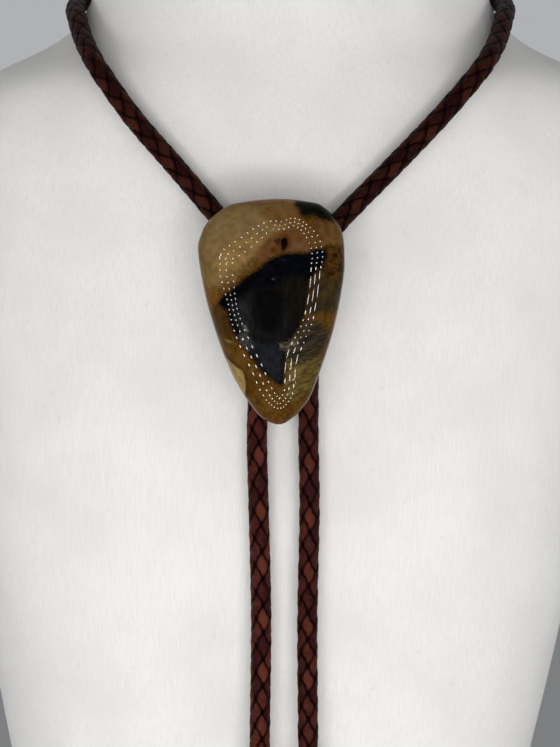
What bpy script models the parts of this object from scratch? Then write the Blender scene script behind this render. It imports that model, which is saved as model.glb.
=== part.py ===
"""Bolo tie with a polished stone slide, hung round a plain neck bust.

Metres, +Z up. The origin is the middle of the bust's flat base, and the bust faces -Y.
"""

import math

import bmesh
import bpy
from mathutils import Matrix, Vector

MM = 0.001
CURVE_STEPS = 8
SHARP_ANGLE = math.radians(35)
MERGE_DISTANCE = 0.001 * MM

# Bust
BUST_HEIGHT = 290 * MM
BUST_HALF_WIDTH = 103 * MM
BUST_FRONT = 66 * MM
BUST_BACK = 49 * MM
BUST_LEAN = 7.6 * MM
BUST_SIDES = 56
BUST_STEPS = 2

# Stone
STONE_WIDTH = 42.3 * MM
STONE_HEIGHT = 65.3 * MM
STONE_THICKNESS = 9.0 * MM
STONE_GIRDLE = 2.6 * MM
STONE_BACK_BEVEL = 0.9 * MM
STONE_SIDES = 48
DOME_RINGS = 9
DOME_POWER = 2.0

# Cord
CORD_DIAMETER = 6.0 * MM
CORD_POINT_SPACING = 2.0
CORD_BEVEL_RESOLUTION = 2

# Slide clasp behind the stone
TAIL_SPACING = 14.6 * MM
CLASP_LENGTH = 14.0 * MM
CLASP_WALL = 0.8 * MM
CLASP_PLATE = 1.2 * MM
CLASP_SIDES = 24

# Tips on the tail ends
TIP_LENGTH = 26.0 * MM
TIP_WALL = 0.5 * MM
TIP_SOCKET = 8.0 * MM
TIP_SHOULDER = 16.0 * MM
TIP_NOSE_RADIUS = 1.8 * MM
TIP_SIDES = 20

# Clearances
TOUCH_GAP = 0.3 * MM
BORE_CLEARANCE = 0.4 * MM

# Place of the slide on the chest, and of the stone's middle from the slide's
SLIDE_X = 4.8 * MM
SLIDE_Z = 173.0 * MM
STONE_ACROSS = -3.5 * MM
STONE_UP = 3.5 * MM

# Bust sections from the base to the cut of the neck. Height is a share of BUST_HEIGHT and
# half_width of BUST_HALF_WIDTH. Front and back are shares of BUST_FRONT and BUST_BACK, measured
# from the widest line, which lies a share of BUST_BACK behind the origin. Squareness 2 is an
# ellipse, and less than 2 draws in towards the sides.
BUST_SECTIONS = (
    # height, half_width, widest_line, front, back, squareness
    (0.000, 0.690, 0.00, 0.80, 0.84, 2.40),
    (0.060, 0.727, 0.00, 0.85, 0.88, 2.40),
    (0.150, 0.785, 0.00, 0.92, 0.92, 2.35),
    (0.275, 0.857, 0.00, 0.97, 0.95, 2.30),
    (0.420, 0.926, 0.00, 0.99, 0.96, 2.25),
    (0.560, 0.978, 0.00, 0.94, 0.96, 2.18),
    (0.680, 0.998, 0.00, 0.86, 0.94, 2.10),
    (0.770, 0.990, 0.02, 0.79, 0.89, 2.02),
    (0.825, 0.950, 0.05, 0.75, 0.83, 1.94),
    (0.852, 0.870, 0.07, 0.73, 0.81, 1.88),
    (0.864, 0.755, 0.09, 0.73, 0.82, 1.88),
    (0.885, 0.660, 0.11, 0.72, 0.84, 1.94),
    (0.918, 0.592, 0.13, 0.72, 0.86, 2.00),
    (0.955, 0.575, 0.14, 0.72, 0.86, 2.00),
    (1.000, 0.572, 0.14, 0.72, 0.86, 2.00),
)

# Outline of the stone from the front, clockwise from its tip, as shares of half its width and
# half its height.
STONE_OUTLINE = (
    # across, up
    (0.130, -1.000),
    (-0.045, -0.972),
    (-0.220, -0.880),
    (-0.549, -0.539),
    (-0.853, 0.013),
    (-1.000, 0.504),
    (-0.963, 0.679),
    (-0.867, 0.798),
    (-0.679, 0.904),
    (-0.461, 0.964),
    (0.085, 1.000),
    (0.567, 0.969),
    (0.720, 0.926),
    (0.850, 0.842),
    (0.971, 0.693),
    (1.000, 0.509),
    (0.982, 0.268),
    (0.840, -0.185),
    (0.567, -0.702),
    (0.414, -0.865),
    (0.304, -0.934),
)

# Route of the cord's middle line in millimetres: up the left tail, through the slide, round the
# back of the neck, and down through the slide to the end of the right tail.
CORD_ROUTE_MM = (
    (-2.1, -67.2, 41.0),
    (-2.1, -67.8, 54.0),
    (-1.7, -68.6, 88.0),
    (-2.4, -68.8, 120.0),
    (-2.9, -67.9, 140.0),
    (-2.6, -67.0, 154.0),
    (-2.5, -65.8, 168.5),
    (-2.5, -64.3, 179.4),
    (-2.5, -63.6, 184.0),
    (-5.0, -61.9, 191.0),
    (-10.0, -59.7, 199.4),
    (-15.8, -57.6, 206.6),
    (-26.9, -53.2, 219.4),
    (-39.1, -47.2, 233.1),
    (-48.4, -39.3, 245.5),
    (-52.2, -32.8, 251.2),
    (-55.2, -22.2, 256.5),
    (-57.3, -11.5, 262.0),
    (-58.5, 2.0, 265.4),
    (-56.6, 16.0, 267.5),
    (-46.4, 31.5, 269.5),
    (-29.9, 43.6, 271.5),
    (-10.6, 50.5, 273.0),
    (7.2, 52.5, 273.5),
    (25.0, 50.5, 273.0),
    (44.2, 43.5, 271.5),
    (60.6, 31.3, 269.5),
    (70.6, 16.0, 267.5),
    (72.5, 2.0, 265.4),
    (71.3, -10.8, 262.0),
    (69.2, -21.6, 256.5),
    (66.0, -32.4, 251.2),
    (61.6, -39.2, 245.5),
    (50.4, -47.4, 233.1),
    (36.9, -53.4, 219.4),
    (24.0, -57.8, 206.6),
    (17.7, -60.0, 199.4),
    (14.0, -61.9, 191.0),
    (12.1, -63.6, 184.0),
    (12.1, -64.3, 179.4),
    (12.1, -65.8, 168.5),
    (12.1, -67.0, 154.0),
    (12.1, -67.9, 140.0),
    (12.4, -68.8, 120.0),
    (11.8, -68.6, 88.0),
    (12.0, -67.8, 54.0),
    (12.0, -67.2, 41.0),
)


def spline_point(before, start, end, after, share):
    """Return the point this share of the way from start to end on a Catmull-Rom curve."""
    square = share * share
    cube = square * share
    return tuple(
        0.5 * (2 * b + (c - a) * share + (2 * a - 5 * b + 4 * c - d) * square
               + (3 * b - a - 3 * c + d) * cube)
        for a, b, c, d in zip(before, start, end, after)
    )


def open_spline(points, steps):
    """Return a smooth curve through the points, with this many steps between each two."""
    padded = [points[0], *points, points[-1]]
    curve = []
    for i in range(len(points) - 1):
        curve += [spline_point(*padded[i:i + 4], k / steps) for k in range(steps)]
    return curve + [tuple(points[-1])]


def closed_spline(points, steps):
    """Return a smooth closed curve through the points, with this many steps between each two."""
    curve = []
    for i in range(len(points)):
        four = [points[(i + k) % len(points)] for k in (-1, 0, 1, 2)]
        curve += [spline_point(*four, k / steps) for k in range(steps)]
    return curve


def evenly_spaced(path, gaps):
    """Return the points that part a path into this many lengths, both ends included."""
    reached = [0.0]
    for a, b in zip(path, path[1:]):
        reached.append(reached[-1] + (b - a).length)
    points = []
    k = 0
    for i in range(gaps + 1):
        target = reached[-1] * i / gaps
        while k < len(path) - 2 and reached[k + 1] < target:
            k += 1
        share = (target - reached[k]) / (reached[k + 1] - reached[k])
        points.append(path[k].lerp(path[k + 1], share))
    return points


def plain_material(name, colour, roughness, metallic=0.0):
    """Return a material with a Principled shader."""
    mat = bpy.data.materials.new(name)
    mat.use_nodes = True
    shader = mat.node_tree.nodes["Principled BSDF"]
    shader.inputs["Base Color"].default_value = (*colour, 1.0)
    shader.inputs["Roughness"].default_value = roughness
    shader.inputs["Metallic"].default_value = metallic
    return mat


def add_object(name, bm, mat):
    """Turn a bmesh into a named object, smooth except at its sharp edges."""
    bmesh.ops.recalc_face_normals(bm, faces=bm.faces)
    mesh = bpy.data.meshes.new(name)
    bm.to_mesh(mesh)
    bm.free()
    mesh.shade_smooth()
    mesh.set_sharp_from_angle(angle=SHARP_ANGLE)
    mesh.materials.append(mat)
    obj = bpy.data.objects.new(name, mesh)
    bpy.context.scene.collection.objects.link(obj)
    return obj


def loft(bm, rings):
    """Join closed rings of points with quads, cap both ends and return the last cap."""
    loops = [[bm.verts.new(p) for p in ring] for ring in rings]
    count = len(loops[0])
    for low, high in zip(loops, loops[1:]):
        for i in range(count):
            j = (i + 1) % count
            bm.faces.new((low[i], low[j], high[j], high[i]))
    bm.faces.new(loops[0])
    return bm.faces.new(loops[-1])


def bust_point(section, turn):
    """Return the point of a bust section at a turn, counted from +X towards the back."""
    height, half_width, widest_line, front, back, squareness = section
    across, along = math.cos(turn), math.sin(turn)
    depth = BUST_BACK * back if along > 0 else BUST_FRONT * front
    reach_x = math.copysign(abs(across) ** (2 / squareness), across) * BUST_HALF_WIDTH * half_width
    reach_y = math.copysign(abs(along) ** (2 / squareness), along) * depth
    return Vector((BUST_LEAN * height + reach_x, BUST_BACK * widest_line + reach_y, BUST_HEIGHT * height))


def make_bust(mat):
    """Loft the bust from its base over the chest and the shoulders to the cut of its neck."""
    bm = bmesh.new()
    turns = [2 * math.pi * i / BUST_SIDES for i in range(BUST_SIDES)]
    sections = open_spline(BUST_SECTIONS, BUST_STEPS)
    loft(bm, [[bust_point(section, turn) for turn in turns] for section in sections])
    return add_object("neck_bust", bm, mat)


def slide_frame():
    """Return the slide's frame: origin on the chest, X across, Y up the chest and Z out of it."""
    front = [bust_point(section, -math.pi / 2) for section in open_spline(BUST_SECTIONS, BUST_STEPS)]
    low, high = next((a, b) for a, b in zip(front, front[1:]) if a.z <= SLIDE_Z < b.z)
    place = low.lerp(high, (SLIDE_Z - low.z) / (high.z - low.z))
    place.x = SLIDE_X
    up = Vector((0, high.y - low.y, high.z - low.z)).normalized()
    across = Vector((1, 0, 0))
    turn = Matrix((across, up, across.cross(up))).transposed().to_4x4()
    return Matrix.Translation(place) @ turn


def bore_radius():
    """Return the radius of the channels that the cord runs through."""
    return CORD_DIAMETER / 2 + BORE_CLEARANCE


def channel_radius():
    """Return the outer radius of the clasp's channels."""
    return bore_radius() + CLASP_WALL


def clasp_height():
    """Return the height of the clasp above the chest, at the back of the stone."""
    return TOUCH_GAP + 2 * channel_radius() + CLASP_PLATE


def cylinder(bm, radius, length, x, z):
    """Add a closed cylinder that runs along Y through the point (x, 0, z)."""
    place = Matrix.Translation((x, 0, z)) @ Matrix.Rotation(math.pi / 2, 4, "X")
    bmesh.ops.create_cone(bm, cap_ends=True, segments=CLASP_SIDES, radius1=radius, radius2=radius,
                          depth=length, matrix=place)


def guide_object(name, bm):
    """Turn a bmesh into a cutter or a body to join, which isn't part of the model."""
    bmesh.ops.recalc_face_normals(bm, faces=bm.faces)
    mesh = bpy.data.meshes.new(name)
    bm.to_mesh(mesh)
    bm.free()
    obj = bpy.data.objects.new(name, mesh)
    bpy.context.scene.collection.objects.link(obj)
    obj.matrix_world = slide_frame()
    obj.hide_render = True
    obj.display_type = "WIRE"
    return obj


def make_clasp(mat):
    """Join two channels for the cord to the plate that the stone is set on."""
    channel_z = TOUCH_GAP + channel_radius()
    plate_low = TOUCH_GAP + 2 * channel_radius() - CLASP_WALL / 2
    plate_size = (TAIL_SPACING + 2 * channel_radius(), CLASP_LENGTH, clasp_height() - plate_low)
    bm = bmesh.new()
    place = Matrix.Translation((0, 0, (plate_low + clasp_height()) / 2))
    bmesh.ops.create_cube(bm, size=1, matrix=place @ Matrix.Diagonal((*plate_size, 1)))
    clasp = add_object("slide_clasp", bm, mat)
    clasp.matrix_world = slide_frame()
    for side, x in (("left", -TAIL_SPACING / 2), ("right", TAIL_SPACING / 2)):
        for job, operation, radius, length in (
            ("channel", "UNION", channel_radius(), CLASP_LENGTH),
            ("bore", "DIFFERENCE", bore_radius(), 2 * CLASP_LENGTH),
        ):
            bm = bmesh.new()
            cylinder(bm, radius, length, x, channel_z)
            boolean = clasp.modifiers.new(f"{side}_{job}", "BOOLEAN")
            boolean.operation = operation
            boolean.solver = "EXACT"
            boolean.object = guide_object(f"{side}_{job}", bm)
    return clasp


def make_stone(mat):
    """Loft the stone from its flat back over the rounded rim to the top of its dome."""
    smooth = closed_spline(STONE_OUTLINE, CURVE_STEPS)
    half = Vector((STONE_WIDTH / 2, STONE_HEIGHT / 2, 0))
    path = [Vector((x * half.x, y * half.y, 0)) for x, y in [*smooth, smooth[0]]]
    outline = evenly_spaced(path, STONE_SIDES)[:-1]
    back_share = 1 - STONE_BACK_BEVEL / half.x
    levels = [(back_share, 0.0), (1.0, STONE_BACK_BEVEL)]
    for k in range(DOME_RINGS):
        share = math.cos(math.pi / 2 * k / DOME_RINGS)
        rise = math.sqrt(1 - share ** DOME_POWER)
        levels.append((share, STONE_GIRDLE + (STONE_THICKNESS - STONE_GIRDLE) * rise))
    place = slide_frame() @ Matrix.Translation((STONE_ACROSS, STONE_UP, clasp_height() + TOUCH_GAP))
    rings = [[place @ Vector((p.x * share, p.y * share, height)) for p in outline]
             for share, height in levels]
    bm = bmesh.new()
    last_cap = loft(bm, rings)
    top = bmesh.ops.poke(bm, faces=[last_cap])["verts"][0]
    top.co = place @ Vector((0, 0, STONE_THICKNESS))
    return add_object("stone", bm, mat)


def cord_path():
    """Return the cord's middle line as closely spaced points of a smooth curve, in metres."""
    return [Vector(p) * MM for p in open_spline(CORD_ROUTE_MM, CURVE_STEPS)]


def make_cord(mat):
    """Lay the cord as a round tube along its route."""
    path = cord_path()
    length = sum((b - a).length for a, b in zip(path, path[1:]))
    points = evenly_spaced(path, round(length / (CORD_POINT_SPACING * CORD_DIAMETER)))
    curve = bpy.data.curves.new("cord", "CURVE")
    curve.dimensions = "3D"
    curve.bevel_depth = CORD_DIAMETER / 2
    curve.bevel_resolution = CORD_BEVEL_RESOLUTION
    curve.use_fill_caps = True
    spline = curve.splines.new("POLY")
    spline.points.add(len(points) - 1)
    for target, point in zip(spline.points, points):
        target.co = (*point, 1)
    spline.use_smooth = True
    curve.materials.append(mat)
    obj = bpy.data.objects.new("cord", curve)
    bpy.context.scene.collection.objects.link(obj)
    return obj


def make_tip(name, end, before, mat):
    """Turn a tapered tip whose socket holds the end of a tail."""
    socket = CORD_DIAMETER / 2 + TOUCH_GAP
    rim = socket + TIP_WALL
    profile = (
        # radius, distance from the mouth
        (0.0, TIP_SOCKET + TOUCH_GAP),
        (socket, TIP_SOCKET + TOUCH_GAP),
        (socket, 0.0),
        (rim, 0.0),
        (rim, TIP_SHOULDER),
        (TIP_NOSE_RADIUS, TIP_LENGTH - TIP_NOSE_RADIUS / 2),
        (TIP_NOSE_RADIUS / 2, TIP_LENGTH),
        (0.0, TIP_LENGTH),
    )
    down = (end - before).normalized()
    mouth = end - down * TIP_SOCKET
    place = Matrix.Translation(mouth) @ down.to_track_quat("Z", "Y").to_matrix().to_4x4()
    bm = bmesh.new()
    verts = [bm.verts.new((radius, 0, along)) for radius, along in profile]
    edges = [bm.edges.new(pair) for pair in zip(verts, verts[1:])]
    bmesh.ops.spin(bm, geom=verts + edges, axis=(0, 0, 1), cent=(0, 0, 0), angle=2 * math.pi,
                   steps=TIP_SIDES, use_merge=True)
    bmesh.ops.remove_doubles(bm, verts=bm.verts, dist=MERGE_DISTANCE)
    bmesh.ops.transform(bm, matrix=place, verts=bm.verts)
    return add_object(name, bm, mat)


def main():
    """Build the bolo tie and the bust that it hangs on."""
    for obj in list(bpy.data.objects):
        bpy.data.objects.remove(obj)
    leatherette = plain_material("white_leatherette", (0.80, 0.79, 0.76), 0.55)
    agate = plain_material("polished_agate", (0.17, 0.10, 0.04), 0.08)
    nickel = plain_material("nickel_plate", (0.62, 0.60, 0.57), 0.3, 1.0)
    leather = plain_material("braided_leather", (0.07, 0.02, 0.015), 0.45)
    make_bust(leatherette)
    make_clasp(nickel)
    make_stone(agate)
    make_cord(leather)
    path = cord_path()
    make_tip("tip_left", path[0], path[CURVE_STEPS], nickel)
    make_tip("tip_right", path[-1], path[-1 - CURVE_STEPS], nickel)


main()
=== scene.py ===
"""Looks of a bolo tie with a polished stone slide, hung round a plain white neck bust.

Metres, +Z up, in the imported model's own frame: the bust stands on z = 0 and faces -Y.
"""
import logging
import math
from abc import ABC, abstractmethod
from collections.abc import Sequence
from dataclasses import dataclass, field
from enum import Enum

import bmesh
import bpy
import numpy as np
from mathutils import Matrix, Vector, noise
from mathutils.interpolate import poly_3d_calc


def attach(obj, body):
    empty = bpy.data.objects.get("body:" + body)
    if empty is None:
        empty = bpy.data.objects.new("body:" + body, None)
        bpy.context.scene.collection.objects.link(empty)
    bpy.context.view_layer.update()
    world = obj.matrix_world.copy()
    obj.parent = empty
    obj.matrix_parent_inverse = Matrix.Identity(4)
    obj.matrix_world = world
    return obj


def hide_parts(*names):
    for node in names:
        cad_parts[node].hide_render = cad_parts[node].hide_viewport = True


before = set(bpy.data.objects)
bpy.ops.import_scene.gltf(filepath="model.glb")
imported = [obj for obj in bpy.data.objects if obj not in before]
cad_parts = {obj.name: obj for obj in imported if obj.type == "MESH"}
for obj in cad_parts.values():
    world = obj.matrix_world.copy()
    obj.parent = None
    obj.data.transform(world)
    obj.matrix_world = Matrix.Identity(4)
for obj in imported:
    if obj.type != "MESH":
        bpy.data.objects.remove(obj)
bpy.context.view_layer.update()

MM = 0.001
BODY = "root"
SEED = 7
# Faces that meet at more than this keep a sharp edge in the shading.
SHARP_ANGLE = math.radians(40)
# How many times its reach a bell-shaped average takes in on each side.
BELL_REACHES = 3

log = logging.getLogger("bolo_tie")

# Bust sections from the base to the cut of the neck, as shares of the bust's named sizes. The
# widest line lies a share of the bust's back depth behind the origin. Squareness 2 is an ellipse.
BUST_SECTIONS = (
    # height, half_width, widest_line, front, back, squareness
    (0.000, 0.690, 0.00, 0.80, 0.84, 2.40),
    (0.060, 0.727, 0.00, 0.85, 0.88, 2.40),
    (0.150, 0.785, 0.00, 0.92, 0.92, 2.35),
    (0.275, 0.857, 0.00, 0.97, 0.95, 2.30),
    (0.420, 0.926, 0.00, 0.99, 0.96, 2.25),
    (0.560, 0.978, 0.00, 0.94, 0.96, 2.18),
    (0.680, 0.998, 0.00, 0.86, 0.94, 2.10),
    (0.770, 0.990, 0.02, 0.79, 0.89, 2.02),
    (0.825, 0.946, 0.05, 0.75, 0.83, 1.93),
    (0.852, 0.866, 0.07, 0.73, 0.81, 1.89),
    (0.864, 0.757, 0.09, 0.73, 0.82, 1.92),
    (0.885, 0.661, 0.11, 0.72, 0.84, 1.97),
    (0.918, 0.592, 0.13, 0.72, 0.86, 2.00),
    (0.955, 0.575, 0.14, 0.72, 0.86, 2.00),
    (1.000, 0.572, 0.14, 0.72, 0.86, 2.00),
)

# Outline of the stone from the front, clockwise from its tip, as shares of half its width and
# half its height.
STONE_OUTLINE = (
    # across, up
    (0.130, -1.000), (-0.045, -0.972), (-0.220, -0.880), (-0.549, -0.539), (-0.853, 0.013),
    (-1.000, 0.504), (-0.963, 0.679), (-0.867, 0.798), (-0.679, 0.904), (-0.461, 0.964),
    (0.085, 1.000), (0.567, 0.969), (0.720, 0.926), (0.850, 0.842), (0.971, 0.693),
    (1.000, 0.509), (0.982, 0.268), (0.840, -0.185), (0.567, -0.702), (0.414, -0.865),
    (0.304, -0.934),
)

# Route of the cord's middle line in metres: up the left tail, through the slide, round the back
# of the neck, and down through the slide to the end of the right tail.
CORD_ROUTE = (
    (-0.0021, -0.0672, 0.0410), (-0.0021, -0.0678, 0.0540), (-0.0017, -0.0686, 0.0880),
    (-0.0024, -0.0688, 0.1200), (-0.0029, -0.0679, 0.1400), (-0.0026, -0.0670, 0.1540),
    (-0.0025, -0.0658, 0.1685), (-0.0025, -0.0643, 0.1794), (-0.0025, -0.0636, 0.1840),
    (-0.0050, -0.0619, 0.1910), (-0.0100, -0.0597, 0.1994), (-0.0158, -0.0576, 0.2066),
    (-0.0269, -0.0532, 0.2194), (-0.0391, -0.0472, 0.2331), (-0.0484, -0.0393, 0.2455),
    (-0.0522, -0.0328, 0.2512), (-0.0552, -0.0222, 0.2565), (-0.0573, -0.0115, 0.2620),
    (-0.0585, 0.0020, 0.2654), (-0.0566, 0.0160, 0.2675), (-0.0464, 0.0315, 0.2695),
    (-0.0299, 0.0436, 0.2715), (-0.0106, 0.0505, 0.2730), (0.0072, 0.0525, 0.2735),
    (0.0250, 0.0505, 0.2730), (0.0442, 0.0435, 0.2715), (0.0606, 0.0313, 0.2695),
    (0.0706, 0.0160, 0.2675), (0.0725, 0.0020, 0.2654), (0.0713, -0.0108, 0.2620),
    (0.0692, -0.0216, 0.2565), (0.0660, -0.0324, 0.2512), (0.0616, -0.0392, 0.2455),
    (0.0504, -0.0474, 0.2331), (0.0369, -0.0534, 0.2194), (0.0240, -0.0578, 0.2066),
    (0.0177, -0.0600, 0.1994), (0.0140, -0.0619, 0.1910), (0.0121, -0.0636, 0.1840),
    (0.0121, -0.0643, 0.1794), (0.0121, -0.0658, 0.1685), (0.0121, -0.0670, 0.1540),
    (0.0121, -0.0679, 0.1400), (0.0124, -0.0688, 0.1200), (0.0118, -0.0686, 0.0880),
    (0.0120, -0.0678, 0.0540), (0.0120, -0.0672, 0.0410),
)

# What fills a node's inputs, by their names or numbers, and rows of numbers such as points.
Inputs = dict[str | int, object] | None
Points = Sequence[Sequence[float]] | np.ndarray


def linear(colour: str) -> tuple[float, float, float, float]:
    """Turn an sRGB hex colour into linear red, green, blue and alpha, by the sRGB curve.

    Args:
        colour: The colour as "#RRGGBB".

    Returns:
        The linear colour with an alpha of 1.
    """
    channels = [int(colour[i:i + 2], 16) / 255 for i in (1, 3, 5)]
    red, green, blue = (c / 12.92 if c <= 0.04045 else ((c + 0.055) / 1.055) ** 2.4 for c in channels)
    return red, green, blue, 1.0


def add_node(tree: bpy.types.NodeTree, kind: str, inputs: Inputs = None,
             **settings: object) -> bpy.types.Node:
    """Add one node with its settings, and fill or link its inputs.

    Args:
        tree: The tree that the node goes into.
        kind: The node's type without the ShaderNode in front.
        inputs: A value or an output socket for each input, by its name or number.
        settings: The node's own properties.

    Returns:
        The new node.
    """
    node = tree.nodes.new("ShaderNode" + kind)
    for key, value in settings.items():
        setattr(node, key, value)
    for key, value in (inputs or {}).items():
        if isinstance(value, bpy.types.NodeSocket):
            tree.links.new(value, node.inputs[key])
        else:
            node.inputs[key].default_value = value
    return node


def smooth_curve(points: Points, steps: int, closed: bool = False) -> np.ndarray:
    """Read a Catmull-Rom curve through points.

    Args:
        points: The points, one a row, of any number of columns.
        steps: How many steps the curve takes from each point to the next.
        closed: Whether the curve goes back to its first point.

    Returns:
        The curve's points, one a row.
    """
    fixed = np.asarray(points, float)
    ends = (fixed[-1:], fixed[:2]) if closed else (fixed[:1], fixed[-1:])
    padded = np.vstack([ends[0], fixed, ends[1]])
    rows = []
    for a, b, c, d in zip(padded, padded[1:], padded[2:], padded[3:]):
        for share in np.arange(steps) / steps:
            rows.append(0.5 * (2 * b + (c - a) * share + (2 * a - 5 * b + 4 * c - d) * share ** 2
                               + (3 * b - a - 3 * c + d) * share ** 3))
    return np.array(rows if closed else [*rows, fixed[-1]])


def evenly_spaced(path: np.ndarray, gaps: int) -> np.ndarray:
    """Resample a path into equal lengths.

    Args:
        path: The path's points, one a row.
        gaps: How many lengths to part it into.

    Returns:
        The points between the lengths, both ends included.
    """
    reached = np.concatenate([[0.0], np.cumsum(np.linalg.norm(np.diff(path, axis=0), axis=1))])
    targets = np.linspace(0.0, reached[-1], gaps + 1)
    return np.column_stack([np.interp(targets, reached, column) for column in path.T])


def softened(table: np.ndarray, step: float, reach: float) -> np.ndarray:
    """Resample a table evenly along its first column and even out how the others change.

    Args:
        table: The rows, their first column rising.
        step: The gap between the new rows.
        reach: How far along the first column each row draws on the others.

    Returns:
        The new rows, both ends kept.
    """
    even = np.linspace(table[0, 0], table[-1, 0], round((table[-1, 0] - table[0, 0]) / step) + 1)
    rows = np.column_stack([np.interp(even, table[:, 0], column) for column in table.T])
    span = math.ceil(BELL_REACHES * reach / step)
    shares = np.exp(-0.5 * (np.arange(-span, span + 1) * step / reach) ** 2)
    padded = np.pad(rows, ((span, span), (0, 0)), mode="reflect", reflect_type="odd")
    return np.column_stack([np.convolve(column, shares / shares.sum(), "valid") for column in padded.T])


def rounded(profile: Points, radius: float, steps: int = 5) -> np.ndarray:
    """Round the inner corners of a turned profile.

    Args:
        profile: The profile's corners as radius and distance along the axis.
        radius: How far from each corner its rounding starts.
        steps: How many points make each rounding.

    Returns:
        The rounded profile, one point a row.
    """
    corners = np.asarray(profile, float)
    rows = [corners[0]]
    for before, corner, after in zip(corners, corners[1:], corners[2:]):
        back, ahead = before - corner, after - corner
        start = corner + back * min(0.5, radius / np.linalg.norm(back))
        end = corner + ahead * min(0.5, radius / np.linalg.norm(ahead))
        for share in np.linspace(0.0, 1.0, steps):
            rows.append((1 - share) ** 2 * start + 2 * share * (1 - share) * corner + share ** 2 * end)
    return np.array([*rows, corners[-1]])


def circles(profile: np.ndarray, sides: int) -> np.ndarray:
    """Turn a profile round the Z axis.

    Args:
        profile: The profile's points as radius and distance along the axis, one a row.
        sides: How many points make each ring.

    Returns:
        The rings, as an array of rings by points by 3.
    """
    turns = np.linspace(0.0, 2 * math.pi, sides, endpoint=False)
    round_z = np.stack([np.cos(turns), np.sin(turns), np.zeros(sides)], axis=1)
    along = np.array([0.0, 0.0, 1.0])
    return profile[:, None, :1] * round_z[None] + profile[:, None, 1:] * along


def placed(points: np.ndarray, place: Matrix) -> np.ndarray:
    """Move points of any array shape by a matrix and return them."""
    matrix = np.array(place)
    return points @ matrix[:3, :3].T + matrix[:3, 3]


def skin(name: str, tubes: list[np.ndarray], loop: bool = False) -> bpy.types.Object:
    """Join rings of points into closed smooth surfaces, all in one object.

    Args:
        name: The object's name.
        tubes: For each surface its rings, as an array of rings by points by 3.
        loop: Whether the last ring joins the first. Otherwise both ends are closed by a fan.

    Returns:
        The new object.
    """
    points, faces = [], []
    for rings in tubes:
        count, sides = rings.shape[:2]
        base = sum(len(p) for p in points)
        points.append(rings.reshape(-1, 3))
        index = base + np.arange(count * sides).reshape(count, sides)
        if loop:
            index = np.vstack([index, index[:1]])
        turned = np.roll(index, -1, axis=1)
        quads = np.stack([index[:-1], turned[:-1], turned[1:], index[1:]], axis=-1)
        faces += quads.reshape(-1, 4).tolist()
        if not loop:
            middles = base + count * sides + np.arange(2)
            points.append(np.array([rings[0].mean(axis=0), rings[-1].mean(axis=0)]))
            faces += [[a, b, middles[0]] for a, b in zip(turned[0], index[0])]
            faces += [[a, b, middles[1]] for a, b in zip(index[-1], turned[-1])]
    mesh = bpy.data.meshes.new(name)
    mesh.from_pydata(np.vstack(points).tolist(), [], faces)
    bm = bmesh.new()
    bm.from_mesh(mesh)
    bmesh.ops.recalc_face_normals(bm, faces=bm.faces)
    bm.to_mesh(mesh)
    bm.free()
    mesh.shade_smooth()
    piece = bpy.data.objects.new(name, mesh)
    bpy.context.scene.collection.objects.link(piece)
    return piece


def write_attribute(piece: bpy.types.Object, name: str, values: np.ndarray) -> None:
    """Keep a number or a vector for each of a mesh's points, for its material to read.

    Args:
        piece: The mesh object.
        name: The attribute's name.
        values: A number or a row of three for each point.
    """
    kind, member = ("FLOAT", "value") if values.ndim == 1 else ("FLOAT_VECTOR", "vector")
    attribute = piece.data.attributes.new(name, kind, "POINT")
    attribute.data.foreach_set(member, np.ascontiguousarray(values, dtype=np.float32).ravel())


def points_of(piece: bpy.types.Object) -> np.ndarray:
    """Read a mesh's points.

    Args:
        piece: The mesh object.

    Returns:
        Its points, one a row.
    """
    flat = np.empty(len(piece.data.vertices) * 3, np.float32)
    piece.data.vertices.foreach_get("co", flat)
    return flat.reshape(-1, 3).astype(float)


def finish_piece(piece: bpy.types.Object, node: str, finish: "Finish") -> bpy.types.Object:
    """Give a piece its finish and its place in the model.

    Args:
        piece: The piece, already where the node is.
        node: The CAD node that it stands for.
        finish: The finish of its whole surface.

    Returns:
        The same piece.
    """
    piece.data.materials.append(finish.material())
    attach(piece, BODY)
    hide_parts(node)
    return piece


class Finish(ABC):
    """A finish that makes its own material."""

    name: str

    @abstractmethod
    def dress(self, tree: bpy.types.NodeTree, shader: bpy.types.Node) -> None:
        """Set up the material's nodes in front of its shader."""

    def material(self) -> bpy.types.Material:
        """Make the material, named for the finish.

        Returns:
            The material.
        """
        mat = bpy.data.materials.new(self.name)
        mat.use_nodes = True
        self.dress(mat.node_tree, mat.node_tree.nodes["Principled BSDF"])
        return mat


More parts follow.
